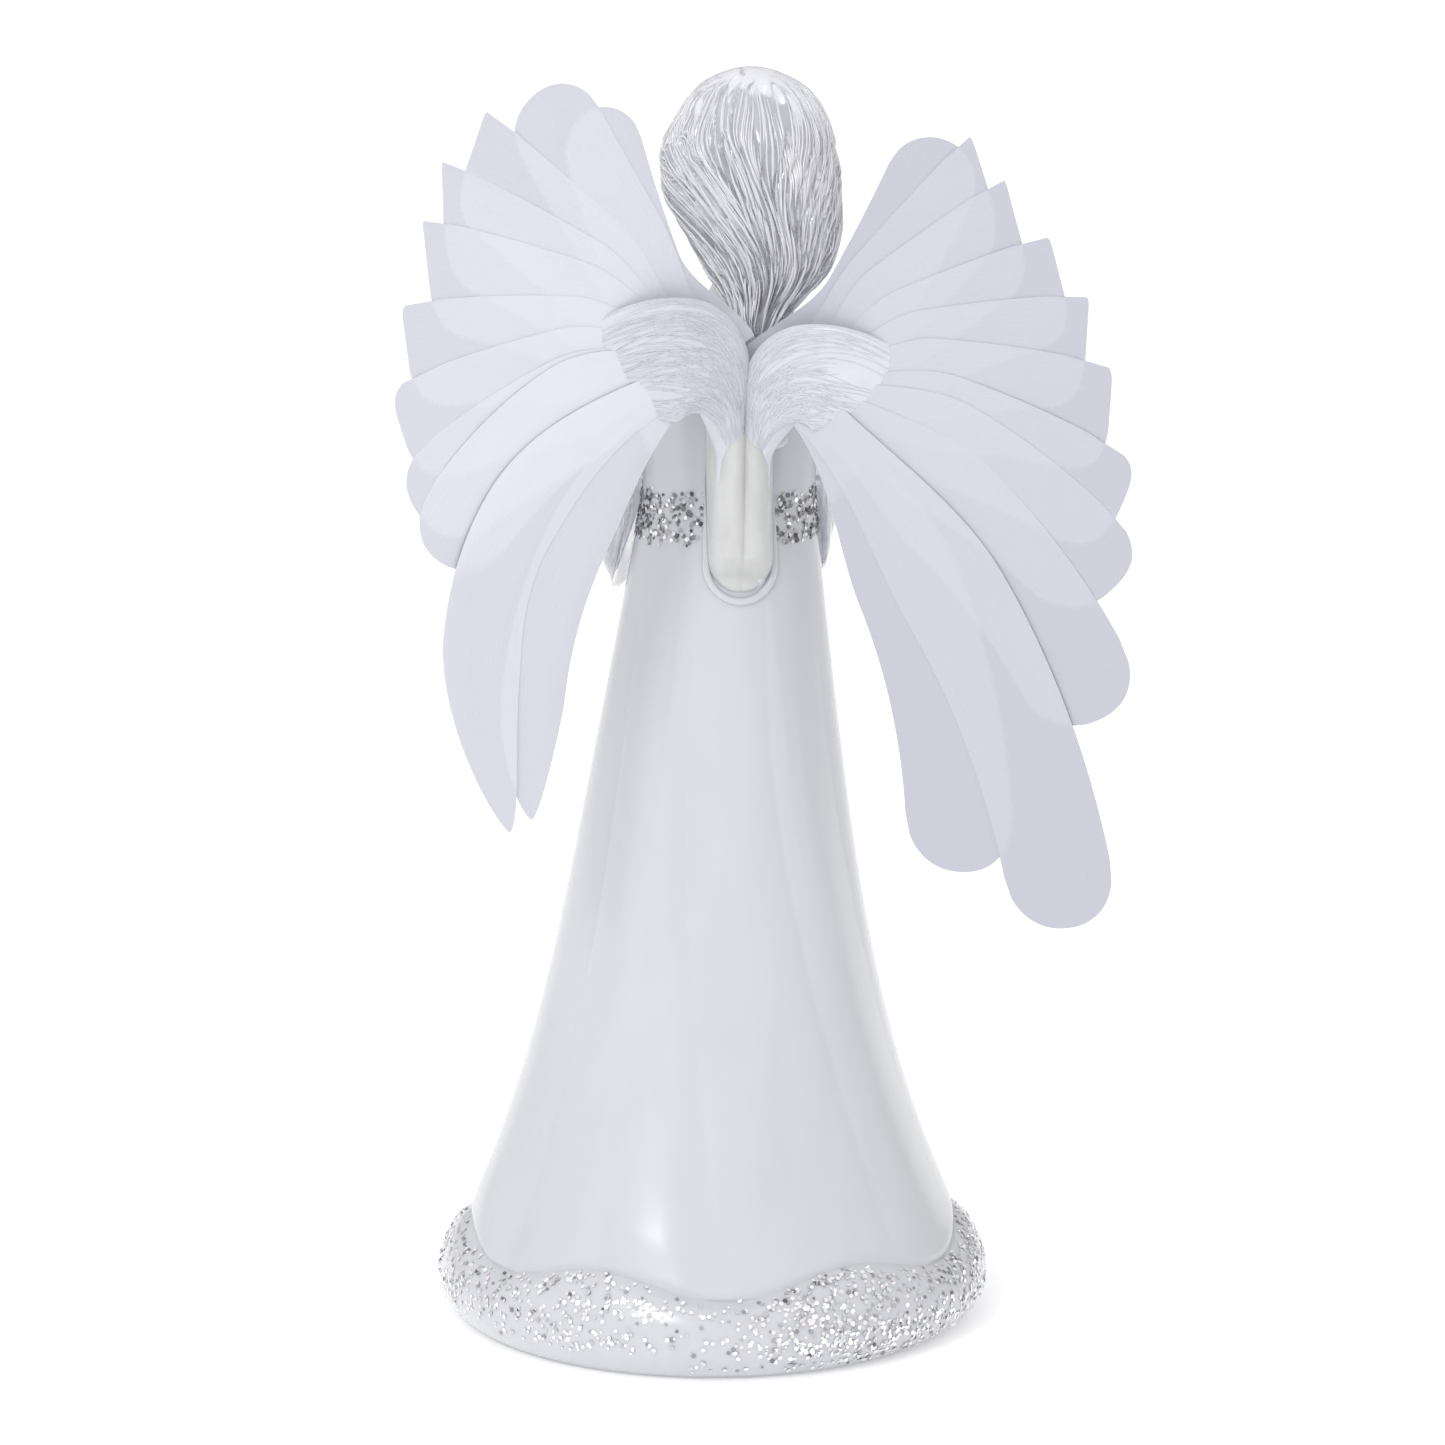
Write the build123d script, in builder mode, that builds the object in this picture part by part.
"""Lit angel figurine: moulded gown and head, fibre wings, and a battery lamp unit in the base.

Millimetres. +Z is up, the figure faces -Y, and its left wing is on the +X side.
The origin is the centre of the footprint, on the plane that the figurine stands on.
"""
import os
from math import cos, hypot, radians, sin

from build123d import *

os.makedirs("parts", exist_ok=True)

# ---------------------------------------------------------------- driving dimensions

# gown: a flared skirt over a rolled hem, and a bodice that closes at the neck
wall = 2.0
foot_radius = 50.0
hem_bulge = 5.5            # how far the rolled hem stands out past the foot
hem_bulge_height = 7.0
hem_height = 16.0
hem_top_radius = foot_radius + 0.9
hem_step = 0.4             # the skirt starts this far inside the top of the hem
waist_height = 165.0
waist_radius = 17.2
waist_depth_ratio = 0.8    # depth of the waist over its width
hem_depth_ratio = 0.994    # the same at the top of the hem
skirt_spread = 21.0        # even part of the skirt's growth from waist to hem
flare_power = 4.2          # how late the rest of the growth comes
crown_height = waist_height + 85.0
sway = 8.0                 # sideways lean of the figure at the crown
# bodice rings: height above the waist, half width, half depth
bodice_rings = [(12.0, 17.6, 12.8), (24.0, 18.4, 12.2), (33.0, 14.5, 9.6), (38.5, 8.2, 7.4)]
inner_bodice_top = 31.0    # the cavity ends this far above the waist
skirt_ring_count = 9
ring_crowding = 1.5        # rings lie closer together towards the hem

# glitter coats
coat = 0.35
waist_band_bottom = waist_height - 7.5
waist_band_top = waist_height + 2.5
hem_band_bottom = 3.5
hem_band_top = 14.5

# head: hollow hair form with a face in front, on a short neck
# hair rings: height below the crown, half width, half depth, distance behind the figure's axis
hair_rings = [
    (0.0, 3.0, 3.0, -1.0),
    (3.0, 8.8, 8.4, -1.0),
    (12.0, 14.8, 14.2, 0.0),
    (25.0, 16.4, 16.0, 1.0),
    (37.0, 13.4, 12.0, 5.0),
    (46.0, 7.6, 6.4, 10.0),
    (52.0, 2.4, 2.2, 14.4),
]
head_side = -7.8           # head's centre line in X
face_half_width = 10.2
face_half_height = 14.0
face_below_crown = 24.0
face_forward = 5.0
neck_radius = 5.6
shell = 1.6

# arms: sleeves from the shoulders to joined hands
shoulder_out = 14.5
shoulder_height = waist_height + 25.0
elbow_out = 19.5
elbow_height = waist_height - 1.0
elbow_forward = 9.0
wrist_out = 3.4
wrist_height = waist_height + 15.0
wrist_forward = 27.0
upper_arm_radius = 4.6
elbow_radius = 4.8
cuff_radius = 5.6
hand_length = 15.0
hand_thickness = 3.0
hand_width = 7.0
drape_drop = 14.0          # how far the open sleeve hangs below the elbow
drape_thickness = 1.6

# wings
wing_back = 23.0           # where the two wing planes cross, behind the axis
wing_side = -3.9           # and beside it
wing_sweep = 25.0          # degrees that each wing turns back
feather_thickness = 0.4
feather_pitch = 0.8        # spacing of the feather layers
feather_root_width = 5.0
feather_middle_share = 0.85  # width half way along over the full width
feather_start = 5.5        # distance from the gather's centre to a feather's root
gather_radius = 9.0
gather_thickness = 11.0
gather_out = 12.0          # gather's centre along the wing
left_gather_height = waist_height + 31.0
right_gather_height = waist_height + 25.0
# feather rows: tip along the wing, tip height, width, sideways bow; top feather first
left_feathers = [
    (26.0, 245.0, 18.0, -1.0),
    (42.0, 250.0, 17.0, 0.0),
    (56.0, 243.0, 18.0, 0.5),
    (64.0, 233.5, 19.0, 1.0),
    (69.5, 221.0, 19.0, 1.5),
    (74.0, 205.0, 19.0, 2.0),
    (75.0, 190.0, 19.0, 2.5),
    (72.5, 174.0, 19.0, 4.0),
    (65.5, 163.0, 18.0, 8.0),
    (50.0, 112.0, 16.0, 12.0),
    (55.0, 109.0, 17.0, 21.0),
]
right_feathers = [
    (37.5, 240.0, 18.0, 0.0),
    (46.0, 237.0, 18.0, 0.5),
    (53.5, 227.0, 19.0, 1.0),
    (61.5, 216.0, 19.0, 1.0),
    (67.5, 203.5, 20.0, 1.5),
    (72.5, 188.0, 20.0, 2.0),
    (76.0, 171.0, 20.0, 3.0),
    (76.5, 153.0, 21.0, 4.5),
    (73.0, 127.0, 21.0, 6.5),
    (43.0, 98.5, 21.0, 7.0),
    (65.5, 87.5, 21.5, 8.0),
]

# fibre bundles: from the wings down the back, in through the port, down to the lamp
bundle_radius = 2.6
bundle_gap = 0.2
bundle_bend_height = waist_height + 13.0
bundle_bend_back = 19.5
port_height = waist_height - 8.0
port_back = 17.0
inside_height = waist_height - 26.0
inside_back = 6.0
port_clearance = 0.3
top_bend_radius = 12.0
inside_bend_radius = 20.0
rim_width = 1.5
rim_gap = 1.2
rim_height = 1.2
rim_bottom = waist_height - 19.5
rim_top = waist_height + 3.0
glue_radius = 4.6
glue_height = waist_height + 18.0
glue_back = 15.5

# base plate and its screws
plate_thickness = 2.4
plate_clearance = 0.2
screw_circle = foot_radius - 7.0
screw_angles = (90.0, 210.0, 330.0)
boss_radius = 3.5
boss_top = 34.0
screw_radius = 1.2
screw_head_radius = 2.5
screw_head_depth = 1.3
screw_recess = 0.3
screw_length = 9.0
screw_fit = 0.1

# battery box, cells and contacts
cell_radius = 5.25
cell_length = 44.5
cell_button_height = 1.0
cell_button_radius = 1.9
cell_spacing = 2 * cell_radius + 0.5
cell_count = 3
contact_room = 1.5         # at each end of a cell
contact_thickness = 0.3
contact_width = 7.0
contact_height = 8.0
box_wall = 1.4
box_centre_y = -19.7
cell_lift = 0.4

# battery door
door_lap = 1.2             # door overlaps the cavity by this on every side
door_thickness = 2.0
door_gap = 0.3
door_pin_radius = 0.6
door_pin_length = 2.5
door_pin_fit = 0.08
finger_radius = 5.0

# switch
switch_y = 22.0
switch_length = 11.0
switch_width = 6.0
switch_height = 5.0
knob_length = 3.0
knob_width = 3.0
knob_travel = 4.0
knob_floor = 0.6
knob_fit = 0.4
stem_width = 1.6
stem_length = 2.0
stem_top = 4.6

# lamp unit
lamp_x = -3.0
lamp_y = 1.5
board_width = 36.0
board_depth = 30.0
board_thickness = 1.6
board_forward = 7.5        # board's centre in front of the lamp
post_height = 2.0
post_radius = 2.0
lamp_radius = 5.0
lamp_height = 13.0
holder_bore = 8.0
holder_wall = 1.6
holder_height = 26.0
ferrule_seat = 10.0        # length of the ferrule inside its holder
ferrule_above = 7.0
ferrule_flange = 1.5
lead_radius = 0.6
lead_spacing = 4.0
lead_bend = 7.0

# ---------------------------------------------------------------- values that follow

gown_height = waist_height - hem_height
hem_flare = hem_top_radius - hem_step - waist_radius - skirt_spread
plate_radius = foot_radius - wall - plate_clearance
cavity_length = cell_length + 2 * contact_room
cavity_width = (cell_count - 1) * cell_spacing + 2 * cell_radius + 0.6
cavity_top = plate_thickness + cell_lift + 2 * cell_radius + 0.6
door_length = cavity_length + 2 * door_lap
door_width = cavity_width + 2 * door_lap
door_inner_edge = box_centre_y + door_width / 2
hinge_y = door_inner_edge - door_thickness / 2
hinge_z = door_thickness / 2
box_top = cavity_top + box_wall
board_bottom = box_top + post_height
board_top = board_bottom + board_thickness
board_y = lamp_y - board_forward
holder_top = board_top + holder_height
bundle_end = holder_top - ferrule_seat
bundle_step = bundle_radius + bundle_gap / 2


def lean(z):
    """Sideways place of the figure's centre line at a height."""
    return -sway * ((z - hem_height) / (crown_height - hem_height)) ** 2


def skirt_ring(z):
    """Half width and half depth of the skirt at a height."""
    share = (waist_height - z) / gown_height
    half_width = waist_radius + skirt_spread * share + hem_flare * share**flare_power
    half_depth = half_width * (waist_depth_ratio + (hem_depth_ratio - waist_depth_ratio) * share)
    return half_width, half_depth


def gown_rings(grow):
    """Height, half width and half depth of every ring of the gown, grown sideways."""
    rings = []
    for index in range(skirt_ring_count):
        z = hem_height + gown_height * (index / (skirt_ring_count - 1)) ** ring_crowding
        rings.append((z, *skirt_ring(z)))
    rings += [(waist_height + up, width, depth) for up, width, depth in bodice_rings]
    return [(z, width + grow, depth + grow) for z, width, depth in rings]


def lofted(rings):
    """Closed form through ellipses given as height, half width, half depth."""
    with BuildPart() as form:
        for z, half_width, half_depth in rings:
            with BuildSketch(Plane((lean(z), 0, z))):
                Ellipse(half_depth, half_width, rotation=90)
        loft()
    return form.part


def hem_ring(outer_grow, inner_grow, bottom, top):
    """Rolled hem between two heights: the bulge arc, grown outwards by two amounts."""
    bulge_radius = foot_radius + hem_bulge
    with BuildPart() as ring:
        with BuildSketch(Plane.YZ):
            with BuildLine():
                ThreePointArc(
                    (foot_radius + outer_grow, 0),
                    (bulge_radius + outer_grow, hem_bulge_height),
                    (hem_top_radius + outer_grow, hem_height),
                )
                Line((hem_top_radius + outer_grow, hem_height), (hem_top_radius + inner_grow, hem_height))
                ThreePointArc(
                    (hem_top_radius + inner_grow, hem_height),
                    (bulge_radius + inner_grow, hem_bulge_height),
                    (foot_radius + inner_grow, 0),
                )
                Line((foot_radius + inner_grow, 0), (foot_radius + outer_grow, 0))
            make_face()
            with Locations((bulge_radius, (bottom + top) / 2)):
                Rectangle(4 * bulge_radius, top - bottom, mode=Mode.INTERSECT)
        revolve(axis=Axis.Z)
    return ring.part


def wing_point(side, out, z, layer=0.0):
    """Point on a wing: distance out along it, height, and distance behind its plane."""
    turn = radians(wing_sweep)
    x = wing_side + side * (out * cos(turn) - layer * sin(turn))
    y = wing_back + out * sin(turn) + layer * cos(turn)
    return Vector(x, y, z)


def bundle_path(side, gather_height):
    """Centre line of one fibre bundle, from its wing to the lamp."""
    side_x = wing_side + side * bundle_step
    lamp_side_x = lamp_x + side * bundle_step
    centre = wing_point(side, gather_out, gather_height)
    bend = Vector(side_x, bundle_bend_back, bundle_bend_height)
    start = centre + (bend - centre).normalized() * feather_start
    corners = [
        start,
        bend,
        Vector(side_x, port_back, port_height),
        Vector(side_x, inside_back, inside_height),
        Vector(lamp_side_x, lamp_y, holder_top + inside_bend_radius),
        Vector(lamp_side_x, lamp_y, bundle_end),
    ]
    radii = [top_bend_radius, inside_bend_radius, inside_bend_radius, inside_bend_radius]
    with BuildLine() as path:
        FilletPolyline(*corners, radius=radii)
    return path.line


def round_bar(path, radius):
    """Round bar along a path."""
    with BuildPart() as bar:
        with BuildLine():
            add(path)
        with BuildSketch(Plane(origin=path @ 0, z_dir=path % 0)):
            Circle(radius)
        sweep()
    return bar.part


def bone(start, start_radius, end, end_radius):
    """Tapered limb with round ends between two points."""
    along = end - start
    with BuildPart() as limb:
        with BuildSketch(Plane(origin=start, z_dir=along)):
            Circle(start_radius)
        with BuildSketch(Plane(origin=end, z_dir=along)):
            Circle(end_radius)
        loft()
        with Locations(start):
            Sphere(start_radius)
        with Locations(end):
            Sphere(end_radius)
    return limb.part


def save(piece, name):
    """Label a finished piece and write it as its own STEP file."""
    piece.label = name
    export_step(piece, f"parts/{name}.step")


# ---------------------------------------------------------------- gown

gown_form = lofted(gown_rings(0))
cavity_rings = [ring for ring in gown_rings(-wall) if ring[0] < waist_height + inner_bodice_top]
gown_cavity = lofted(cavity_rings)

left_path = bundle_path(1, left_gather_height)
right_path = bundle_path(-1, right_gather_height)

hem = hem_ring(0, -wall, 0, hem_height)

mid_wall_form = lofted(gown_rings(-wall / 2))

with BuildPart() as boss_room:
    with BuildSketch():
        Circle(hem_top_radius - wall / 2)
    extrude(amount=hem_height)
    add(mid_wall_form)

with BuildPart() as screw_bosses:
    with BuildSketch(Plane.XY.offset(plate_thickness)):
        for angle in screw_angles:
            with PolarLocations(screw_circle, 1, start_angle=angle):
                Circle(boss_radius)
    extrude(amount=boss_top - plate_thickness)
    add(boss_room.part, mode=Mode.INTERSECT)

with BuildPart() as gown_shell:
    add(gown_form)
    add(gown_cavity, mode=Mode.SUBTRACT)
    add(hem)
    add(screw_bosses.part)
    with BuildSketch(Plane.XY.offset(plate_thickness)):
        for angle in screw_angles:
            with PolarLocations(screw_circle, 1, start_angle=angle):
                Circle(screw_radius)
    extrude(amount=screw_length, mode=Mode.SUBTRACT)

with BuildPart() as gown_front:
    add(gown_shell.part)
    split(bisect_by=Plane.XZ, keep=Keep.TOP)
save(gown_front.part, "gown_front")

# U-shaped rim moulded on the back, round the port that the fibre bundles go in by
rim_half = 2 * bundle_step + rim_gap
rim_form = lofted(gown_rings(rim_height))
left_port = round_bar(left_path, bundle_radius + port_clearance)
right_port = round_bar(right_path, bundle_radius + port_clearance)

with BuildPart() as port_rim:
    with BuildSketch(Plane.XZ):
        with Locations((wing_side, (rim_bottom + rim_top) / 2)):
            Rectangle(2 * (rim_half + rim_width), rim_top - rim_bottom)
        fillet(vertices().group_by(Axis.Y)[0], radius=rim_half)
        with Locations((wing_side, (rim_bottom + rim_width + rim_top) / 2)):
            RectangleRounded(2 * rim_half, rim_top - rim_bottom - rim_width, rim_half - 1, mode=Mode.SUBTRACT)
        with Locations((wing_side, rim_top)):
            Rectangle(2 * rim_half, 2 * rim_half, mode=Mode.SUBTRACT)
    extrude(amount=-2 * port_back)
    add(rim_form, mode=Mode.INTERSECT)
    add(gown_cavity, mode=Mode.SUBTRACT)

with BuildPart() as gown_back:
    add(gown_shell.part)
    split(bisect_by=Plane.XZ, keep=Keep.BOTTOM)
    add(port_rim.part)
    add(left_port, mode=Mode.SUBTRACT)
    add(right_port, mode=Mode.SUBTRACT)
save(gown_back.part, "gown_back")

# ---------------------------------------------------------------- glitter coats

coat_form = lofted(gown_rings(coat))

with BuildPart() as waist_glitter_band:
    add(coat_form)
    with Locations((0, 0, (waist_band_bottom + waist_band_top) / 2)):
        Box(4 * waist_radius, 4 * waist_radius, waist_band_top - waist_band_bottom, mode=Mode.INTERSECT)
    add(gown_form, mode=Mode.SUBTRACT)
    with Locations((wing_side, port_back, port_height)):
        Box(2 * (rim_half + rim_width), 2 * port_back, 2 * port_height, mode=Mode.SUBTRACT)
save(waist_glitter_band.part, "waist_glitter_band")

hem_glitter_band = hem_ring(coat, 0, hem_band_bottom, hem_band_top)
save(hem_glitter_band, "hem_glitter_band")

# ---------------------------------------------------------------- head


def hair_form(shrink):
    """Closed hair form, from the crown to the gathered tail, shrunk on every side."""
    with BuildPart() as form:
        for below, half_width, half_depth, back in hair_rings:
            drop = shrink * (1 - 2 * below / hair_rings[-1][0])
            centre = (head_side, back, crown_height - below - drop)
            with BuildSketch(Plane(centre)):
                width_now = max(half_width - shrink, half_width / 4)
                Ellipse(max(half_depth - shrink, half_depth / 4), width_now, rotation=90)
        loft()
    return form.part


face_centre = Vector(head_side, -face_forward, crown_height - face_below_crown)
neck_top = face_centre.Z - face_half_height / 2
neck_bottom = waist_height + bodice_rings[-1][0]

hair_outside = hair_form(0)
hair_inside = hair_form(shell)

with BuildPart() as face:
    Sphere(1)
    scale(by=(face_half_width, face_half_width, face_half_height))

with BuildPart() as head_form:
    add(hair_outside)
    with Locations(face_centre):
        add(face.part)
    with BuildSketch(Plane((lean(neck_bottom), 0, neck_bottom - 4))):
        Circle(neck_radius)
    with BuildSketch(Plane((head_side, -1, neck_top))):
        Circle(neck_radius)
    loft()
    add(gown_form, mode=Mode.SUBTRACT)
    add(hair_inside, mode=Mode.SUBTRACT)

with BuildPart() as head_front:
    add(head_form.part)
    split(bisect_by=Plane.XZ, keep=Keep.TOP)
save(head_front.part, "head_front")

with BuildPart() as head_back:
    add(head_form.part)
    split(bisect_by=Plane.XZ, keep=Keep.BOTTOM)
save(head_back.part, "head_back")

# ---------------------------------------------------------------- arms and hands


def sleeve(side):
    """One clear sleeve: upper arm, forearm with a wide cuff, and the hanging drape."""
    middle = lean(shoulder_height)
    shoulder = Vector(middle + side * shoulder_out, 0, shoulder_height)
    elbow = Vector(middle + side * elbow_out, -elbow_forward, elbow_height)
    wrist = Vector(middle + side * wrist_out, -wrist_forward, wrist_height)
    run = (wrist - elbow) * 0.8
    reach = hypot(run.X, run.Y)
    cuff = elbow + run
    upper_arm = bone(shoulder, upper_arm_radius, elbow, elbow_radius)
    with BuildPart() as arm:
        add(upper_arm)
        with BuildSketch(Plane(origin=elbow, z_dir=wrist - elbow)):
            Circle(elbow_radius)
        with BuildSketch(Plane(origin=cuff, z_dir=wrist - elbow)):
            Circle(cuff_radius)
        loft()
        with BuildSketch(Plane(origin=elbow, x_dir=(run.X, run.Y, 0), z_dir=(run.Y, -run.X, 0))):
            with BuildLine():
                Polyline((0, 0), (reach, run.Z), (reach * 0.8, 0), (0, -drape_drop), close=True)
            make_face()
        extrude(amount=drape_thickness / 2, both=True)
        add(gown_form, mode=Mode.SUBTRACT)
        add(waist_glitter_band.part, mode=Mode.SUBTRACT)
        split(bisect_by=Plane((middle + side * hand_thickness / 2, 0, 0), z_dir=(side, 0, 0)), keep=Keep.TOP)
    return arm.part


left_sleeve_part = sleeve(1)
right_sleeve_part = sleeve(-1)
save(left_sleeve_part, "left_sleeve")
save(right_sleeve_part, "right_sleeve")

with BuildPart() as praying_hands:
    middle = lean(shoulder_height)
    with BuildSketch(Plane((middle, -wrist_forward, wrist_height - hand_width))):
        Ellipse(hand_thickness, hand_width / 2)
    with BuildSketch(Plane((middle, -wrist_forward - 1, wrist_height))):
        Ellipse(hand_thickness * 0.9, hand_width / 2)
    with BuildSketch(Plane((middle, -wrist_forward - 3, wrist_height + hand_length))):
        Ellipse(hand_thickness * 0.4, hand_width / 5)
    loft()
    add(left_sleeve_part, mode=Mode.SUBTRACT)
    add(right_sleeve_part, mode=Mode.SUBTRACT)
save(praying_hands.part, "praying_hands")

# ---------------------------------------------------------------- wings


def feather(side, gather_height, row, layer):
    """One flat feather: a band that widens from its root, bows sideways and ends round."""
    tip_out, tip_height, width, bow = row
    centre = Vector(gather_out, gather_height)
    chord = Vector(tip_out, tip_height) - centre
    along = chord.normalized()
    across = Vector(-along.Y, along.X)
    root = centre + along * feather_start
    shoulder = Vector(tip_out, tip_height) - along * (width / 2)
    middle = centre + chord / 2 + across * bow
    middle_width = width * feather_middle_share
    flat = Plane(
        origin=wing_point(side, 0, 0, layer),
        x_dir=wing_point(side, 1, 0) - wing_point(side, 0, 0),
        z_dir=(sin(radians(wing_sweep)), -side * cos(radians(wing_sweep)), 0),
    )
    with BuildPart() as blade:
        with BuildSketch(flat):
            with BuildLine():
                ThreePointArc(
                    root + across * (feather_root_width / 2),
                    middle + across * (middle_width / 2),
                    shoulder + across * (width / 2),
                )
                ThreePointArc(
                    shoulder + across * (width / 2),
                    (tip_out, tip_height),
                    shoulder - across * (width / 2),
                )
                ThreePointArc(
                    shoulder - across * (width / 2),
                    middle - across * (middle_width / 2),
                    root - across * (feather_root_width / 2),
                )
                Line(root - across * (feather_root_width / 2), root + across * (feather_root_width / 2))
            make_face()
        extrude(amount=feather_thickness / 2, both=True)
    return blade.part


def wing(side, name, rows, gather_height, path):
    """Write one wing: its feathers, its fibre bundle, and the gather that grips them."""
    bundle = round_bar(path, bundle_radius)
    save(bundle, f"{name}_fibre_bundle")
    feathers = []
    for index, row in enumerate(rows):
        layer = feather_pitch * (index - (len(rows) - 1) / 2)
        blade = feather(side, gather_height, row, layer)
        save(blade, f"{name}_feather_{index + 1:02d}")
        feathers.append(blade)
    centre = wing_point(side, gather_out, gather_height)
    with BuildPart() as gather:
        with BuildSketch(Plane(origin=centre, z_dir=wing_point(side, 0, 0, 1) - wing_point(side, 0, 0))):
            Circle(gather_radius)
        extrude(amount=gather_thickness / 2, both=True)
        fillet(edges(), radius=2)
        add(bundle, mode=Mode.SUBTRACT)
        for blade in feathers:
            add(blade, mode=Mode.SUBTRACT)
    save(gather.part, f"{name}_wing_root")
    return bundle


left_bundle = wing(1, "left", left_feathers, left_gather_height, left_path)
right_bundle = wing(-1, "right", right_feathers, right_gather_height, right_path)

with BuildPart() as root_glue:
    with Locations((wing_side, glue_back, glue_height)):
        Sphere(glue_radius)
    add(left_bundle, mode=Mode.SUBTRACT)
    add(right_bundle, mode=Mode.SUBTRACT)
    add(gown_form, mode=Mode.SUBTRACT)
save(root_glue.part, "root_glue")

# ---------------------------------------------------------------- base plate and screws

slot_length = knob_length + knob_travel + 2 * knob_fit
slot_width = knob_width + 2 * knob_fit

with BuildPart() as base_plate:
    with BuildSketch():
        Circle(plate_radius)
        with Locations((0, box_centre_y)):
            Rectangle(door_length + 2 * door_gap, door_width + 2 * door_gap, mode=Mode.SUBTRACT)
        with Locations((0, box_centre_y - door_width / 2 - door_gap)):
            Circle(finger_radius, mode=Mode.SUBTRACT)
        with Locations((0, switch_y)):
            Rectangle(slot_length, slot_width, mode=Mode.SUBTRACT)
        for angle in screw_angles:
            with PolarLocations(screw_circle, 1, start_angle=angle):
                Circle(screw_radius + screw_fit, mode=Mode.SUBTRACT)
    extrude(amount=plate_thickness)
    with BuildSketch():
        for angle in screw_angles:
            with PolarLocations(screw_circle, 1, start_angle=angle):
                Circle(screw_head_radius + screw_fit)
    extrude(amount=screw_recess + screw_head_depth, mode=Mode.SUBTRACT)
    with BuildSketch(Plane(origin=(0, hinge_y, hinge_z), z_dir=(1, 0, 0))):
        Circle(door_pin_radius + door_pin_fit)
    extrude(amount=door_length / 2 + door_pin_length + door_gap, both=True, mode=Mode.SUBTRACT)
save(base_plate.part, "base_plate")

with BuildPart() as base_screws:
    for angle in screw_angles:
        spot = (screw_circle * cos(radians(angle)), screw_circle * sin(radians(angle)), screw_recess)
        with BuildSketch(Plane(spot)):
            Circle(screw_head_radius)
            Rectangle(screw_head_radius * 1.2, 0.6, mode=Mode.SUBTRACT)
        extrude(amount=screw_head_depth / 2)
        with BuildSketch(Plane(spot).offset(screw_head_depth / 2)):
            Circle(screw_head_radius)
        extrude(amount=screw_head_depth / 2)
        with BuildSketch(Plane(spot).offset(screw_head_depth)):
            Circle(screw_radius)
        extrude(amount=screw_length - screw_head_depth)
save(base_screws.part, "base_screws")

# ---------------------------------------------------------------- battery unit

post_x = board_width / 2 - 2 * post_radius

with BuildPart() as battery_box:
    with BuildSketch(Plane((0, box_centre_y, plate_thickness))):
        Rectangle(cavity_length + 2 * box_wall + 2 * door_lap, cavity_width + 2 * box_wall)
    extrude(amount=box_top - plate_thickness)
    with BuildSketch(Plane((0, box_centre_y, plate_thickness))):
        Rectangle(cavity_length, cavity_width)
    extrude(amount=cavity_top - plate_thickness, mode=Mode.SUBTRACT)
    with BuildSketch(Plane.XY.offset(box_top)):
        for x in (lamp_x - post_x, lamp_x + post_x):
            with Locations((x, box_centre_y), (x, box_centre_y + cavity_width / 2 - post_radius)):
                Circle(post_radius)
    extrude(amount=post_height)
save(battery_box.part, "battery_box")

cell_z = plate_thickness + cell_lift + cell_radius
cell_rows = [box_centre_y + cell_spacing * (index - (cell_count - 1) / 2) for index in range(cell_count)]
for index, cell_y in enumerate(cell_rows):
    direction = 1 if index % 2 == 0 else -1
    flat_end = Plane(origin=(-direction * cell_length / 2, cell_y, cell_z), z_dir=(direction, 0, 0))
    with BuildPart() as battery:
        with BuildSketch(flat_end):
            Circle(cell_radius)
        extrude(amount=cell_length - cell_button_height)
        with BuildSketch(flat_end.offset(cell_length - cell_button_height)):
            Circle(cell_button_radius)
        extrude(amount=cell_button_height)
    save(battery.part, f"battery_{index + 1}")

with BuildPart() as battery_contacts:
    for cell_y in cell_rows:
        side_plane = Plane((0, cell_y - contact_width / 2, cell_z), x_dir=(1, 0, 0), z_dir=(0, 1, 0))
        for end in (-1, 1):
            wall_x = end * cavity_length / 2
            with BuildSketch(side_plane):
                with BuildLine():
                    Polyline(
                        (wall_x, -contact_height / 2),
                        (wall_x, contact_height / 2),
                        (wall_x - end * contact_thickness, contact_height / 2),
                        (wall_x - end * (contact_room - 0.1), 0),
                        (wall_x - end * contact_thickness, -contact_height / 2),
                        close=True,
                    )
                make_face()
            extrude(amount=contact_width)
save(battery_contacts.part, "battery_contacts")

with BuildPart() as battery_door:
    with BuildSketch(Plane((0, box_centre_y - door_thickness / 4, 0))):
        Rectangle(door_length, door_width - door_thickness / 2)
    extrude(amount=door_thickness)
    with BuildSketch(Plane(origin=(0, hinge_y, hinge_z), z_dir=(1, 0, 0))):
        Circle(door_thickness / 2)
    extrude(amount=door_length / 2, both=True)
    with BuildSketch(Plane(origin=(0, hinge_y, hinge_z), z_dir=(1, 0, 0))):
        Circle(door_pin_radius)
    extrude(amount=door_length / 2 + door_pin_length, both=True)
save(battery_door.part, "battery_door")

# ---------------------------------------------------------------- switch

knob_x = -knob_travel / 2

with BuildPart() as switch_body:
    with BuildSketch(Plane((0, switch_y, plate_thickness))):
        Rectangle(switch_length, switch_width)
    extrude(amount=switch_height)
    with BuildSketch(Plane((0, switch_y, plate_thickness))):
        Rectangle(stem_length + knob_travel + 2 * knob_fit, stem_width + 2 * knob_fit)
    extrude(amount=stem_top + knob_fit - plate_thickness, mode=Mode.SUBTRACT)
save(switch_body.part, "switch_body")

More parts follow.
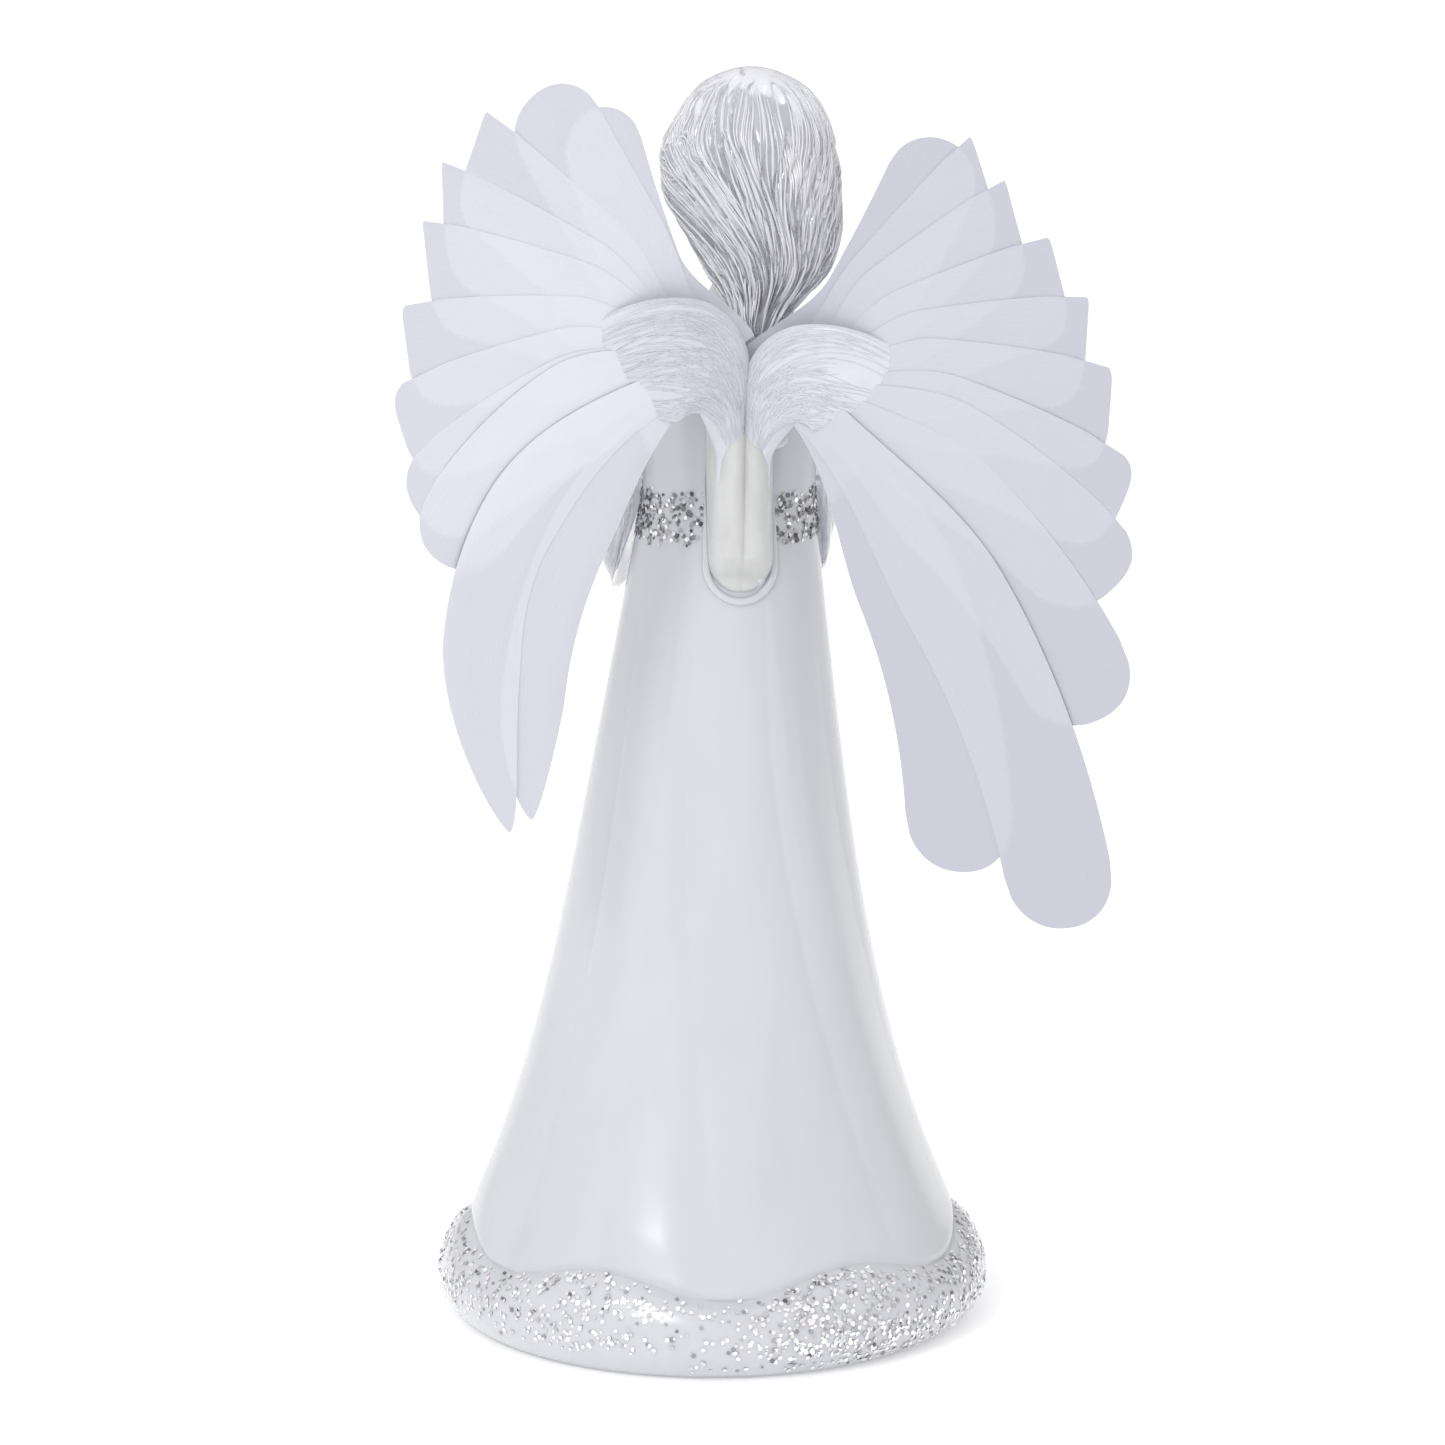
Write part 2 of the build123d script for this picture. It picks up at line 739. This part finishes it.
with BuildPart() as switch_knob:
    with BuildSketch(Plane((knob_x, switch_y, knob_floor))):
        Rectangle(knob_length, knob_width)
    extrude(amount=plate_thickness - knob_fit - knob_floor)
    with BuildSketch(Plane((knob_x, switch_y, knob_floor))):
        with GridLocations(knob_length / 3, 0, 3, 1):
            Rectangle(0.3, knob_width)
    extrude(amount=0.3, mode=Mode.SUBTRACT)
    with BuildSketch(Plane((knob_x, switch_y, plate_thickness - knob_fit))):
        Rectangle(stem_length, stem_width)
    extrude(amount=stem_top - plate_thickness + knob_fit)
save(switch_knob.part, "switch_knob")

# ---------------------------------------------------------------- lamp unit

with BuildPart() as circuit_board:
    with BuildSketch(Plane((lamp_x, board_y, board_bottom))):
        RectangleRounded(board_width, board_depth, 2)
    extrude(amount=board_thickness)
save(circuit_board.part, "circuit_board")

with BuildPart() as led_lamp:
    with BuildSketch(Plane((lamp_x, lamp_y, board_top))):
        Circle(lamp_radius + 0.6)
    extrude(amount=1.2)
    with BuildSketch(Plane((lamp_x, lamp_y, board_top))):
        Circle(lamp_radius)
    extrude(amount=lamp_height - lamp_radius)
    with Locations((lamp_x, lamp_y, board_top + lamp_height - lamp_radius)):
        Sphere(lamp_radius)
save(led_lamp.part, "led_lamp")

with BuildPart() as lamp_holder:
    with BuildSketch(Plane((lamp_x, lamp_y, board_top))):
        Circle(holder_bore + holder_wall)
        Circle(holder_bore, mode=Mode.SUBTRACT)
    extrude(amount=holder_height)
save(lamp_holder.part, "lamp_holder")

with BuildPart() as fibre_ferrule:
    with BuildSketch(Plane((lamp_x, lamp_y, holder_top - ferrule_seat))):
        Circle(holder_bore - 0.05)
    extrude(amount=ferrule_seat + ferrule_above)
    with BuildSketch(Plane((lamp_x, lamp_y, holder_top))):
        Circle(holder_bore + holder_wall)
    extrude(amount=ferrule_flange)
    add(left_bundle, mode=Mode.SUBTRACT)
    add(right_bundle, mode=Mode.SUBTRACT)
save(fibre_ferrule.part, "fibre_ferrule")

lead_z = board_bottom + board_thickness / 2

with BuildLine() as lead_line:
    FilletPolyline(
        (0, switch_y, plate_thickness + switch_height),
        (0, switch_y, lead_z),
        (0, board_y + board_depth / 2, lead_z),
        radius=lead_bend,
    )
lead = round_bar(lead_line.line, lead_radius)

with BuildPart() as switch_leads:
    with GridLocations(lead_spacing, 0, 2, 1):
        add(lead)
save(switch_leads.part, "switch_leads")
